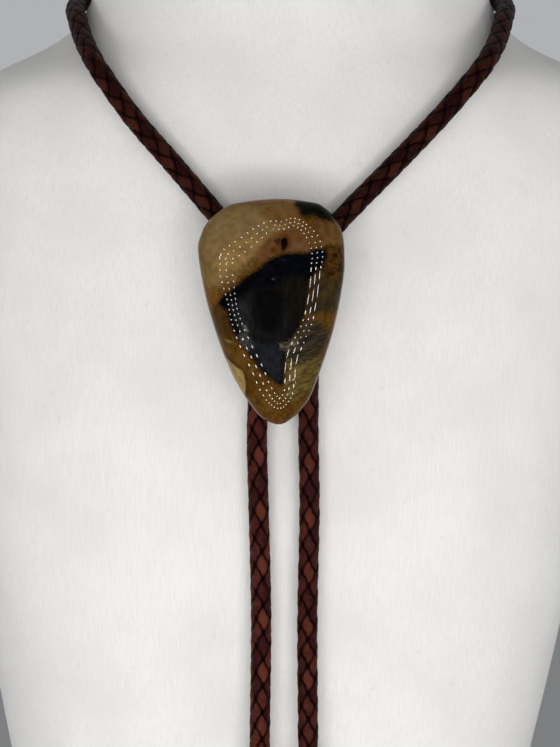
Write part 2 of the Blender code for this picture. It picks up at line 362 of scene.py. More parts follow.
@dataclass(frozen=True)
class CoatedLeatherette(Finish):
    """Knitted backing with an embossed polyurethane face, stretched over the bust.

    The eye gets an even warm white with a fine upright grain and a faint sheen.
    """

    name: str = "white_embossed_leatherette"
    face: str = "#E9E7E4"
    valley: str = "#DEDCD8"
    speck: str = "#C9C6C0"
    roughness: float = 0.52
    ior: float = 1.5
    # The real grain is 0.2 mm wide, which is under a pixel, so it is drawn twice as wide.
    grain_width: float = 0.42 * MM
    grain_length: float = 7.0 * MM
    grain_depth: float = 0.018 * MM
    # Noise levels between which a valley turns to face, and between which a speck comes up.
    valley_range: tuple[float, float] = (0.12, 0.36)
    speck_range: tuple[float, float] = (0.80, 0.84)
    speck_strength: float = 0.2
    cloud: float = 26.0 * MM
    speck_spacing: float = 2.6 * MM

    def dress(self, tree: bpy.types.NodeTree, shader: bpy.types.Node) -> None:
        """Set up the grain, the clouding and the specks.

        Args:
            tree: The material's node tree.
            shader: Its Principled shader.
        """
        place = add_node(tree, "TexCoord").outputs["Object"]
        stretch = (1 / self.grain_width, 1 / self.grain_width, 1 / self.grain_length)
        along = add_node(tree, "Mapping", {"Vector": place, "Scale": stretch})
        grain = add_node(tree, "TexNoise", {"Vector": along.outputs[0], "Scale": 1.0, "Detail": 3.0,
                                            "Roughness": 0.55})
        cloud = add_node(tree, "TexNoise", {"Vector": place, "Scale": 1 / self.cloud, "Detail": 2.0})
        dust = add_node(tree, "TexNoise", {"Vector": place, "Scale": 1 / self.speck_spacing,
                                           "Detail": 0.0})
        specks = add_node(tree, "MapRange", {"Value": dust.outputs[0], "From Min": self.speck_range[0],
                                             "From Max": self.speck_range[1],
                                             "To Max": self.speck_strength})
        shade = add_node(tree, "Math", {0: grain.outputs[0], 1: cloud.outputs[0]}, operation="MULTIPLY")
        depth = add_node(tree, "MapRange", {"Value": shade.outputs[0], "From Min": self.valley_range[0],
                                            "From Max": self.valley_range[1], "To Min": 1.0,
                                            "To Max": 0.0})
        white = add_node(tree, "Mix", {0: depth.outputs[0], 6: linear(self.face),
                                       7: linear(self.valley)}, data_type="RGBA")
        dusted = add_node(tree, "Mix", {0: specks.outputs[0], 6: white.outputs[2],
                                        7: linear(self.speck)}, data_type="RGBA")
        bump = add_node(tree, "Bump", {"Height": grain.outputs[0], "Distance": self.grain_depth,
                                       "Strength": 1.0})
        tree.links.new(dusted.outputs[2], shader.inputs["Base Color"])
        tree.links.new(bump.outputs[0], shader.inputs["Normal"])
        shader.inputs["Roughness"].default_value = self.roughness
        shader.inputs["IOR"].default_value = self.ior


@dataclass(frozen=True)
class BridleLeather(Finish):
    """Drum-dyed cowhide lace, waxed and antiqued with a dark stain that stays in the hollows.

    The eye gets burgundy stitches with rustier backs and near-black gaps between them, where painted
    shade lies over that stain. Painted shade also darkens the laces' edges, and, with a darker dye, the
    stretch round the neck.
    """

    name: str = "antiqued_bridle_leather_lace"
    burgundy: str = "#321013"
    rust: str = "#5A2B1E"
    # Edge colour: antique dye, with painted shade where a lace tucks under its neighbours.
    edge: str = "#160404"
    # Neck colour and, two lines on, its largest share: painted shade where the neck stretch is less lit,
    # with a darker dye.
    neck_shade_and_dye: str = "#170303"
    # Hollow colour: painted shade between the stitches, over the antique dye.
    hollow_stain_and_shade: str = "#090202"
    neck_shade_and_dye_share: float = 0.66
    roughness: float = 0.5
    ior: float = 1.5
    gloss: float = 0.07
    mottle: float = 1.6 * MM
    mottle_range: tuple[float, float] = (0.3, 0.7)
    mottle_strength: float = 0.3
    # Shares of half a lace's width where the darkening of its edge starts and is full: antique dye that
    # gathers at the edge, and painted shade where the lace tucks under its neighbours.
    edge_dye_and_shade_range: tuple[float, float] = (0.54, 0.94)
    edge_dye_and_shade_strength: float = 0.95
    # Pores are 0.1 mm across, which is under a pixel, so they are drawn three times as wide.
    pore: float = 0.3 * MM
    pore_depth: float = 0.035 * MM
    # Radii in the braid where the darkening of the hollows is full and where it ends: painted shade
    # between the stitches, over the antique dye that gathers there.
    hollow_radius: float = 2.76 * MM
    back_radius: float = 3.02 * MM

    def dress(self, tree: bpy.types.NodeTree, shader: bpy.types.Node) -> None:
        """Set up the dye, the pores, and painted shade: in the hollows and at the edges over the antique
        dye, and round the neck with a darker dye.

        Args:
            tree: The material's node tree.
            shader: Its Principled shader.
        """
        place = add_node(tree, "Attribute", attribute_name="lace_place").outputs["Vector"]
        stitch = add_node(tree, "Attribute", attribute_name="stitch_shade").outputs["Fac"]
        across = add_node(tree, "Attribute", attribute_name="lace_across").outputs["Fac"]
        radius = add_node(tree, "Attribute", attribute_name="braid_radius").outputs["Fac"]
        mottle = add_node(tree, "TexNoise", {"Vector": place, "Scale": 1 / self.mottle, "Detail": 4.0,
                                             "Roughness": 0.6})
        pores = add_node(tree, "TexNoise", {"Vector": place, "Scale": 1 / self.pore, "Detail": 3.0})
        worn = add_node(tree, "MapRange", {"Value": mottle.outputs[0], "From Min": self.mottle_range[0],
                                           "From Max": self.mottle_range[1],
                                           "To Min": -self.mottle_strength,
                                           "To Max": self.mottle_strength})
        rust = add_node(tree, "Math", {0: stitch, 1: worn.outputs[0]}, operation="ADD", use_clamp=True)
        dyed = add_node(tree, "Mix", {0: rust.outputs[0], 6: linear(self.burgundy),
                                      7: linear(self.rust)}, data_type="RGBA")
        side = add_node(tree, "Math", {0: across}, operation="ABSOLUTE")
        # Painted shade with antique dye: the lace darkens towards its edges.
        edge_dye_and_shade_mask = add_node(tree, "MapRange", {"Value": side.outputs[0],
                                              "From Min": self.edge_dye_and_shade_range[0],
                                              "From Max": self.edge_dye_and_shade_range[1],
                                              "To Max": self.edge_dye_and_shade_strength},
                           interpolation_type="SMOOTHSTEP")
        edged = add_node(tree, "Mix", {0: edge_dye_and_shade_mask.outputs[0], 6: dyed.outputs[2],
                                       7: linear(self.edge)}, data_type="RGBA")
        # Painted shade with antique dye: the braid darkens where it lies low between the stitches.
        hollow_stain_and_shade_mask = add_node(tree, "MapRange", {"Value": radius, "From Min": self.hollow_radius,
                                            "From Max": self.back_radius, "To Min": 1.0,
                                            "To Max": 0.0}, interpolation_type="SMOOTHSTEP")
        # Painted shade with a darker dye: the stretch round the neck is darkened.
        tail_tone = add_node(tree, "Attribute", attribute_name="tail_tone").outputs["Fac"]
        neck_darkening = add_node(tree, "MapRange", {"Value": tail_tone, "To Min": self.neck_shade_and_dye_share, "To Max": 0.0})
        dark = add_node(tree, "Mix", {0: neck_darkening.outputs[0], 6: edged.outputs[2],
                                      7: linear(self.neck_shade_and_dye)}, data_type="RGBA")
        hollow_darkened = add_node(tree, "Mix", {0: hollow_stain_and_shade_mask.outputs[0], 6: dark.outputs[2],
                                         7: linear(self.hollow_stain_and_shade)}, data_type="RGBA")
        bump = add_node(tree, "Bump", {"Height": pores.outputs[0], "Distance": self.pore_depth,
                                       "Strength": 1.0})
        tree.links.new(hollow_darkened.outputs[2], shader.inputs["Base Color"])
        tree.links.new(bump.outputs[0], shader.inputs["Normal"])
        shader.inputs["Roughness"].default_value = self.roughness
        shader.inputs["IOR"].default_value = self.ior
        shader.inputs["Specular IOR Level"].default_value = self.gloss


@dataclass(frozen=True)
class NickelPlate(Finish):
    """Nickel plated on turned brass and barrel-polished, with a faint yellow cast.

    The eye gets soft metal highlights, a little clouded where it has been handled.
    """

    name: str = "barrel_polished_nickel_plate"
    colour: str = "#CFC8BB"
    bright: float = 0.17
    clouded: float = 0.32
    cloud: float = 3.0 * MM
    cloud_range: tuple[float, float] = (0.35, 0.7)

    def dress(self, tree: bpy.types.NodeTree, shader: bpy.types.Node) -> None:
        """Set up the clouded polish.

        Args:
            tree: The material's node tree.
            shader: Its Principled shader.
        """
        place = add_node(tree, "TexCoord").outputs["Object"]
        cloud = add_node(tree, "TexNoise", {"Vector": place, "Scale": 1 / self.cloud, "Detail": 4.0})
        polish = add_node(tree, "MapRange", {"Value": cloud.outputs[0], "From Min": self.cloud_range[0],
                                             "From Max": self.cloud_range[1], "To Min": self.bright,
                                             "To Max": self.clouded})
        tree.links.new(polish.outputs[0], shader.inputs["Roughness"])
        shader.inputs["Base Color"].default_value = linear(self.colour)
        shader.inputs["Metallic"].default_value = 1.0


@dataclass(frozen=True)
class StonePatch:
    """A patch of other colours in the stone, with a given edge.

    Its outline is in millimetres across and up from the stone's middle. Its two colours run into
    each other in a figure that is this long across and up, turned by some degrees. Its edge is
    soft over one width and ragged over another, and may have a seam of a third colour outside.
    """

    name: str
    outline: tuple[tuple[float, float], ...]
    colours: tuple[str, str]
    figure: tuple[float, float] = (3.0, 3.0)
    turn: float = 0.0
    soft: float = 0.8
    ragged: float = 0.6
    seam: str | None = None
    seam_width: float = 0.8


STONE_PATCHES = (
    StonePatch("tan_shoulder", ((-21, 29), (-8, 32), (5, 31), (8, 27), (4, 22.5), (0, 19), (-4, 15.5),
                                (-7, 13), (-10.5, 9.5), (-15, 7), (-20, 6), (-23, 14)),
               ("#7B6139", "#685331"), (5, 7), 10, 2.4, 2.2),
    StonePatch("grey_tan", ((-16, 27), (-9, 30), (-2, 29), (-1, 25), (-5, 22.5), (-11, 20), (-17, 16),
                            (-19, 20)),
               ("#7D6743", "#705936"), (4, 4), 20, 2.2, 1.8),
    StonePatch("pale_arc", ((-16, 16), (-12, 18), (-8, 20), (-4, 22.5), (-3, 19.5), (-6, 16.5),
                            (-9, 13), (-13, 10.5), (-16, 10.5)),
               ("#8B6E41", "#7A6038"), (3, 3), 0, 1.8, 1.4),
    StonePatch("left_amber", ((-24, 20), (-20.6, 17), (-20.0, 12), (-18.4, 7), (-14.5, 4.0),
                              (-14.6, 0.5), (-16.5, -3), (-14.5, -9), (-12, -14), (-18, -16),
                              (-23, 0)),
               ("#6E4A1D", "#58390F"), (2.0, 5.0), 15, 1.3, 1.0),
    StonePatch("rim_brown", ((-16, 27.8), (-10.5, 30.3), (-3.5, 31.0), (2, 31.1), (6.6, 30.3), (9, 34),
                             (0, 36), (-10, 35), (-18, 31)),
               ("#7E5B37", "#664928"), (5, 1.2), 0, 0.7, 0.7),
    StonePatch("gold_top", ((-3, 29.5), (3, 30), (7, 29), (9, 26), (7.5, 23.5), (3, 24.5), (-1, 26)),
               ("#6E5028", "#5E4422"), (2.5, 2.0), 0, 1.4, 1.2),
    StonePatch("rust_field", ((-2, 19.5), (2, 22.5), (6.5, 23.5), (12, 22.5), (13.5, 17.7), (8, 15.5),
                              (2, 14.5), (-3, 14), (-4, 16.4)),
               ("#66452A", "#583A1B"), (2.5, 2.5), 0, 1.2, 1.0),
    StonePatch("flank_brown", ((12.5, 27), (18.5, 27), (22, 22), (22, 14), (17.5, 16), (13.5, 19.5)),
               ("#684A28", "#52391C"), (2.0, 4.0), 20, 1.4, 1.0),
    StonePatch("smoke", ((9.5, 11.0), (14.0, 12.5), (17.5, 9.5), (17.0, 3.0), (13.5, -1.0), (9.3, -0.5)),
               ("#221B14", "#3A2C18"), (1.6, 4.0), 0, 1.5, 0.8),
    StonePatch("banded_edge", ((14.8, 18.4), (22, 18.0), (22, 8.0), (21, 1.5), (15.5, 2.5), (14.6, 8.4),
                               (14.8, 13.7)),
               ("#1C1104", "#4C3214"), (17.0, 1.35), -3, 1.0, 0.8),
    StonePatch("olive_smoke", ((13.5, 8.5), (18.5, 9.0), (20.0, 5.0), (18.5, 0.5), (15.0, -0.5),
                               (12.8, 3.0)),
               ("#2A2318", "#3D3018"), (2.0, 3.0), 0, 1.3, 0.9),
    StonePatch("umber", ((-17, 1.6), (-13.4, 1.4), (-11.6, -3.1), (-9.8, -7.2), (-11.5, -9.8),
                         (-15, -7.0), (-16.8, -2.7)),
               ("#33240F", "#4A3516"), (1.6, 3.0), 20, 1.2, 1.0),
    StonePatch("gold_streaks", ((3.6, -13.5), (8.4, -13.8), (14.2, -13.0), (12.6, -19.6),
                                (9.4, -24.2), (6.0, -26.3), (3.8, -24.1), (3.2, -19.8)),
               ("#66562F", "#463414"), (5.0, 0.8), 24, 1.0, 1.2),
    StonePatch("feather", ((7.0, -3.6), (12.0, -2.6), (16.2, -5.3), (15.6, -10.0), (12.6, -13.4),
                           (8.0, -15.5), (4.2, -14.2), (4.0, -10.2)),
               ("#1C1A18", "#403623"), (7.0, 0.5), 18, 1.1, 1.4),
    StonePatch("crescent", ((-14.8, -11.6), (-12.6, -13.9), (-10.5, -15.9), (-8.3, -17.6),
                            (-7.6, -20.0), (-7.7, -24.4), (-10.5, -25.5), (-14.0, -19.5),
                            (-16.0, -14.5)),
               ("#978253", "#866D42"), (1.5, 4.0), 35, 0.3, 0.3, "#3A2409", 1.0),
    StonePatch("black", ((-14.9, 1.9), (-14.4, 3.3), (-12.4, 4.8), (-10.2, 6.6), (-8.4, 8.2),
                         (-5.8, 10.2), (-3.1, 11.9), (-0.5, 14.2), (3.1, 15.7), (6.6, 16.2),
                         (10.2, 16.2), (12.5, 17.2), (15.8, 17.2), (15.4, 14.2), (13.8, 12.2),
                         (11.8, 10.2), (10.4, 7.5), (10.0, 3.1), (9.1, -1.4), (7.5, -4.9),
                         (5.3, -8.9), (4.1, -12.0), (3.6, -17.4), (2.9, -21.1), (0.4, -19.8),
                         (-2.2, -17.8), (-4.5, -14.7), (-7.1, -11.1), (-9.8, -7.6), (-11.8, -3.6),
                         (-12.9, -0.1)),
               ("#040405", "#080A10"), (2.5, 1.6), 20, 0.35, 0.8, "#2C1B0A", 1.1),
    StonePatch("charcoal", ((-12.0, 1.0), (-8.9, 3.6), (-4.9, 5.8), (1.3, 7.0), (4.9, 7.8), (8.6, 8.9),
                            (9.6, 7.5), (9.3, 3.1), (8.5, -1.4), (6.5, -4.9), (4.0, -9.0),
                            (0.0, -9.6), (-4.2, -8.4), (-8.9, -4.8)),
               ("#0E0D0D", "#191716"), (0.5, 6.0), -3, 1.3, 0.8),
    StonePatch("deep_core", ((-4.5, 5.5), (2.5, 6.0), (3.5, 1.0), (2.5, -4.5), (-1.0, -6.5),
                             (-4.0, -3.0)),
               ("#060606", "#0C0B0A"), (0.5, 5.0), 0, 1.5, 0.8),
    StonePatch("brown_veil", ((3.5, 8.5), (9.5, 9.5), (10.0, 3.0), (8.0, -2.5), (5.5, -3.0), (4.8, 2.5)),
               ("#0D0B08", "#19140D"), (0.6, 4.0), -5, 1.2, 0.8),
    StonePatch("left_veil", ((-11.5, 0.5), (-8.5, 2.5), (-6.5, 0.5), (-6.0, -3.5), (-6.5, -7.0),
                             (-9.0, -5.5)),
               ("#18181A", "#252527"), (0.8, 3.5), 12, 1.2, 0.9),
    StonePatch("slate", ((-9.3, -7.2), (-6.0, -8.6), (-1.5, -9.8), (3.6, -9.8), (3.4, -13.0),
                         (3.0, -17.4), (2.5, -20.4), (0.2, -19.2), (-2.0, -17.2), (-4.2, -14.1),
                         (-6.7, -10.8)),
               ("#161718", "#212226"), (1.4, 1.8), 30, 1.1, 1.0),
    StonePatch("ghost", ((-9.2, -6.8), (-7.0, -6.4), (-5.8, -8.4), (-5.6, -11.0), (-7.0, -11.2),
                         (-8.8, -9.4)),
               ("#46423D", "#252526"), (1.0, 1.0), 0, 0.9, 1.2),
    StonePatch("pale_knots", ((2.5, -9.4), (5.0, -9.0), (7.4, -8.0), (7.6, -9.6), (5.2, -11.2),
                              (3.2, -11.0)),
               ("#6A5A48", "#2B2620"), (0.9, 0.9), 0, 0.6, 1.3),
    StonePatch("dark_corner", ((7.4, 31.6), (7.9, 29.7), (9.4, 27.4), (11.8, 28.0), (14.2, 26.6),
                               (16.6, 26.2), (19.4, 26.4), (22, 27), (17, 33), (10, 35)),
               ("#0A0906", "#14150C"), (1.6, 1.6), 0, 0.4, 1.0, "#3A210C", 1.2),
    StonePatch("black_spot", ((3.1, 20.6), (4.2, 20.9), (4.8, 19.7), (4.4, 18.2), (3.4, 17.1),
                              (2.9, 18.6), (2.6, 19.7)),
               ("#080303", "#120805"), (1.0, 1.0), 0, 0.25, 0.35, "#4A2810", 1.2),
    StonePatch("spot_smear", ((0.8, 20.2), (2.0, 20.8), (2.8, 20.0), (2.0, 19.0), (1.2, 19.2)),
               ("#241208", "#3A2210"), (1.0, 1.0), 0, 0.4, 0.5),
    StonePatch("rust_blot", ((0.0, 18.0), (1.3, 18.3), (1.9, 17.3), (0.9, 16.2), (-0.3, 16.4)),
               ("#3D200E", "#54300F"), (1.0, 1.0), 0, 0.4, 0.5),
    StonePatch("right_dot", ((13.6, -15.3), (14.4, -15.2), (14.5, -15.8), (13.7, -15.9)),
               ("#120C05", "#120C05"), (1.0, 1.0), 0, 0.25, 0.2),
    StonePatch("long_fleck", ((-0.9, 8.3), (0.4, 9.1), (1.7, 9.5), (0.6, 8.6)),
               ("#3E3E42", "#2A2A2E"), (1.0, 1.0), 0, 0.25, 0.2),
    StonePatch("top_fleck", ((2.2, 14.6), (3.6, 14.4), (4.2, 13.9), (3.0, 14.1)),
               ("#2C2E36", "#2C2E36"), (1.0, 1.0), 0, 0.25, 0.15),
    StonePatch("left_fleck", ((-8.4, -4.2), (-7.5, -4.5), (-6.6, -6.0), (-7.5, -5.8)),
               ("#77736A", "#4E4A44"), (0.6, 0.6), 0, 0.3, 0.3),
    StonePatch("amber_fleck", ((-13.6, -8.2), (-12.2, -8.5), (-11.0, -9.3), (-12.4, -9.3)),
               ("#82714B", "#5E4C28"), (0.6, 0.6), 0, 0.3, 0.3),
)


@dataclass(frozen=True)
class PolishedAgate(Finish):
    """Opaque agate with moss and limb inclusions, ground on wheels and polished to a glass gloss.

    The eye gets olive and amber ground, patches with crisp or smoky edges, and sharp reflections.
    """

    patches: tuple[StonePatch, ...] = STONE_PATCHES
    name: str = "polished_limb_agate"
    ground: tuple[str, str] = ("#5E421A", "#4A2F0A")
    vein: str = "#2B1A07"
    roughness: float = 0.02
    ior: float = 1.54
    # Lengths in the stone are in millimetres, as its own coordinates are.
    ground_figure: float = 4.5
    ground_range: tuple[float, float] = (0.35, 0.65)
    vein_spacing: float = 5.0
    vein_width: float = 0.04
    vein_strength: float = 0.5
    mottle: float = 1.8
    mottle_range: tuple[float, float] = (0.25, 0.75)
    mottle_light: tuple[float, float] = (0.78, 1.16)
    # How many tears a millimetre of a patch's ragged edge has.
    tears: float = 1.3
    tear_range: tuple[float, float] = (0.2, 0.8)
    seam_strength: float = 0.9
    patch_range: tuple[float, float] = (0.36, 0.64)

    def dress(self, tree: bpy.types.NodeTree, shader: bpy.types.Node) -> None:
        """Lay the ground, its veins and then each patch over the one before.

        Args:
            tree: The material's node tree.
            shader: Its Principled shader.
        """
        place = add_node(tree, "Attribute", attribute_name="stone_place").outputs["Vector"]
        figure = add_node(tree, "TexNoise", {"Vector": place, "Scale": 1 / self.ground_figure,
                                             "Detail": 5.0, "Distortion": 1.2})
        spread = add_node(tree, "MapRange", {"Value": figure.outputs[0],
                                             "From Min": self.ground_range[0],
                                             "From Max": self.ground_range[1]})
        colour = add_node(tree, "Mix", {0: spread.outputs[0], 6: linear(self.ground[0]),
                                        7: linear(self.ground[1])}, data_type="RGBA").outputs[2]
        crack = add_node(tree, "TexNoise", {"Vector": place, "Scale": 1 / self.vein_spacing,
                                            "Detail": 2.0, "Roughness": 0.5, "Distortion": 1.0})
        ridge = add_node(tree, "Math", {0: crack.outputs[0], 1: 0.5}, operation="SUBTRACT")
        ridge = add_node(tree, "Math", {0: ridge.outputs[0]}, operation="ABSOLUTE")
        veins = add_node(tree, "MapRange", {"Value": ridge.outputs[0], "From Max": self.vein_width,
                                            "To Min": self.vein_strength, "To Max": 0.0})
        colour = add_node(tree, "Mix", {0: veins.outputs[0], 6: colour, 7: linear(self.vein)},
                          data_type="RGBA").outputs[2]
        for patch in self.patches:
            colour = self.lay_patch(tree, place, colour, patch)
        fleck = add_node(tree, "TexNoise", {"Vector": place, "Scale": 1 / self.mottle, "Detail": 4.0})
        light = add_node(tree, "MapRange", {"Value": fleck.outputs[0], "From Min": self.mottle_range[0],
                                            "From Max": self.mottle_range[1],
                                            "To Min": self.mottle_light[0],
                                            "To Max": self.mottle_light[1]})
        colour = add_node(tree, "VectorMath", {0: colour, "Scale": light.outputs[0]},
                          operation="SCALE").outputs[0]
        tree.links.new(colour, shader.inputs["Base Color"])
        shader.inputs["Roughness"].default_value = self.roughness
        shader.inputs["IOR"].default_value = self.ior

    def lay_patch(self, tree: bpy.types.NodeTree, place: bpy.types.NodeSocket,
                  under: bpy.types.NodeSocket, patch: StonePatch) -> bpy.types.NodeSocket:
        """Mix a patch over the colour below it.

        Args:
            tree: The material's node tree.
            place: The stone's own coordinates in millimetres.
            under: The colour below the patch.
            patch: The patch.

        Returns:
            The mixed colour.
        """
        inside = add_node(tree, "Attribute", attribute_name="in_" + patch.name).outputs["Fac"]
        tear = add_node(tree, "TexNoise", {"Vector": place, "Scale": self.tears, "Detail": 5.0,
                                           "Roughness": 0.62})
        shift = add_node(tree, "MapRange", {"Value": tear.outputs[0], "From Min": self.tear_range[0],
                                            "From Max": self.tear_range[1], "To Min": -patch.ragged,
                                            "To Max": patch.ragged})
        torn = add_node(tree, "Math", {0: inside, 1: shift.outputs[0]}, operation="ADD").outputs[0]
        if patch.seam:
            seam = add_node(tree, "MapRange", {"Value": torn, "From Min": -patch.seam_width - patch.soft,
                                               "From Max": 0.0, "To Max": self.seam_strength},
                            interpolation_type="SMOOTHSTEP")
            under = add_node(tree, "Mix", {0: seam.outputs[0], 6: under, 7: linear(patch.seam)},
                             data_type="RGBA").outputs[2]
        scale = (1 / patch.figure[0], 1 / patch.figure[1], 1.0)
        level = add_node(tree, "Mapping", {"Vector": place,
                                           "Rotation": (0.0, 0.0, math.radians(-patch.turn))})
        turned = add_node(tree, "Mapping", {"Vector": level.outputs[0], "Scale": scale})
        grain = add_node(tree, "TexNoise", {"Vector": turned.outputs[0], "Scale": 1.0, "Detail": 4.0,
                                            "Distortion": 0.4})
        spread = add_node(tree, "MapRange", {"Value": grain.outputs[0], "From Min": self.patch_range[0],
                                             "From Max": self.patch_range[1]})
        own = add_node(tree, "Mix", {0: spread.outputs[0], 6: linear(patch.colours[0]),
                                     7: linear(patch.colours[1])}, data_type="RGBA").outputs[2]
        mask = add_node(tree, "MapRange", {"Value": torn, "From Min": -patch.soft,
                                           "From Max": patch.soft}, interpolation_type="SMOOTHSTEP")
        return add_node(tree, "Mix", {0: mask.outputs[0], 6: under, 7: own},
                        data_type="RGBA").outputs[2]


# The sparks that the ring light leaves on the dome lie in three rows. A round spark has
# SPARK_RADIUS in millimetres, and one that is drawn out gets thinner by SPARK_THINNING for each
# millimetre of its length.
SPARK_ROWS = (-1, 0, 1)
SPARK_RADIUS = 0.15
SPARK_THINNING = 0.3
SPARK_STEPS = 24

# The middle row of sparks, in millimetres across and up from the stone's middle, with the gap
# between rows, the gap from spark to spark, and how far each spark is drawn out.
SPARK_LOOP = (
    # across, up, row_gap, spark_gap, drawn_out
    (-0.5, 24.5, 1.25, 1.60, 0.0), (3.1, 24.6, 1.15, 1.50, 0.0), (6.6, 25.6, 1.15, 1.35, 0.0),
    (9.5, 23.9, 1.15, 1.25, 0.0), (12.0, 20.9, 1.50, 1.80, 0.0), (13.0, 17.9, 1.50, 1.50, 0.0),
    (13.3, 15.5, 1.50, 1.50, 0.0), (12.9, 12.8, 1.40, 1.70, 0.3), (12.5, 8.8, 1.20, 4.40, 3.1),
    (12.0, 4.4, 1.20, 4.90, 3.5), (11.4, 0.9, 1.20, 4.00, 2.2), (10.6, -2.7, 1.30, 2.00, 0.2),
    (9.2, -6.3, 1.30, 1.90, 0.0), (7.6, -9.6, 1.50, 2.00, 0.2), (6.1, -13.1, 1.50, 4.00, 2.6),
    (5.5, -16.9, 1.50, 4.20, 3.1), (5.2, -20.9, 1.30, 3.10, 1.1), (4.7, -24.2, 1.25, 1.40, 0.0),
    (2.4, -26.8, 1.30, 0.95, 0.0), (0.2, -25.3, 1.50, 1.15, 0.0), (-2.0, -21.8, 1.60, 2.20, 0.3),
    (-3.3, -18.6, 1.60, 2.70, 0.6), (-4.5, -15.9, 1.60, 2.90, 0.6), (-6.5, -12.0, 1.60, 2.90, 0.6),
    (-8.2, -8.2, 1.50, 2.70, 0.4), (-9.8, -4.0, 1.35, 1.60, 0.0), (-10.8, -0.5, 1.15, 1.50, 0.0),
    (-11.5, 3.1, 1.15, 1.50, 0.0), (-12.2, 6.6, 1.50, 1.80, 0.0), (-12.9, 10.2, 1.80, 1.85, 0.0),
    (-13.0, 13.3, 1.80, 1.60, 0.0), (-12.7, 15.9, 1.85, 1.60, 0.0), (-10.2, 17.5, 1.95, 2.10, 0.0),
    (-7.1, 19.7, 1.95, 2.20, 0.0), (-4.0, 22.2, 1.80, 1.90, 0.0),
)


def diode_spots() -> list[tuple[Vector, Vector, float]]:
    """Spread the sparks along their rows.

    Returns:
        For each spark its place, the way it is drawn out, and how far, in millimetres.
    """
    loop = smooth_curve(SPARK_LOOP, SPARK_STEPS, closed=True)
    along = np.roll(loop[:, :2], -1, axis=0) - np.roll(loop[:, :2], 1, axis=0)
    along /= np.linalg.norm(along, axis=1, keepdims=True)
    aside = np.column_stack([-along[:, 1], along[:, 0]])
    spots = []
    for row in SPARK_ROWS:
        places = loop[:, :2] + aside * loop[:, 2:3] * row
        # The outer rows start half a gap on, so that sparks of neighbouring rows lie staggered.
        due = 0.5 * (row % 2)
        for place, nearby, way, gap, drawn_out in zip(places, np.roll(places, -1, axis=0), along,
                                                      loop[:, 3], loop[:, 4]):
            due += np.linalg.norm(nearby - place) / gap
            if due >= 1.0:
                due -= 1.0
                spots.append((Vector(place), Vector(way), float(max(0.0, drawn_out))))
    return spots


def depth_inside(points: np.ndarray, outline: np.ndarray) -> np.ndarray:
    """Measure how far points lie inside a closed outline.

    Args:
        points: Points in the outline's plane, one a row.
        outline: The outline's points, one a row.

    Returns:
        Each point's distance to the outline, negative outside it.
    """
    nearest = np.full(len(points), np.inf)
    inside = np.zeros(len(points), bool)
    for start, end in zip(outline, np.roll(outline, -1, axis=0)):
        edge = end - start
        share = np.clip((points - start) @ edge / (edge @ edge), 0.0, 1.0)
        gap = points - start - share[:, None] * edge
        nearest = np.minimum(nearest, np.hypot(gap[:, 0], gap[:, 1]))
        crosses = (start[1] > points[:, 1]) != (end[1] > points[:, 1])
        if crosses.any():
            reach = start[0] + (points[:, 1] - start[1]) * edge[0] / edge[1]
            inside ^= crosses & (points[:, 0] < reach)
    return np.where(inside, nearest, -nearest)


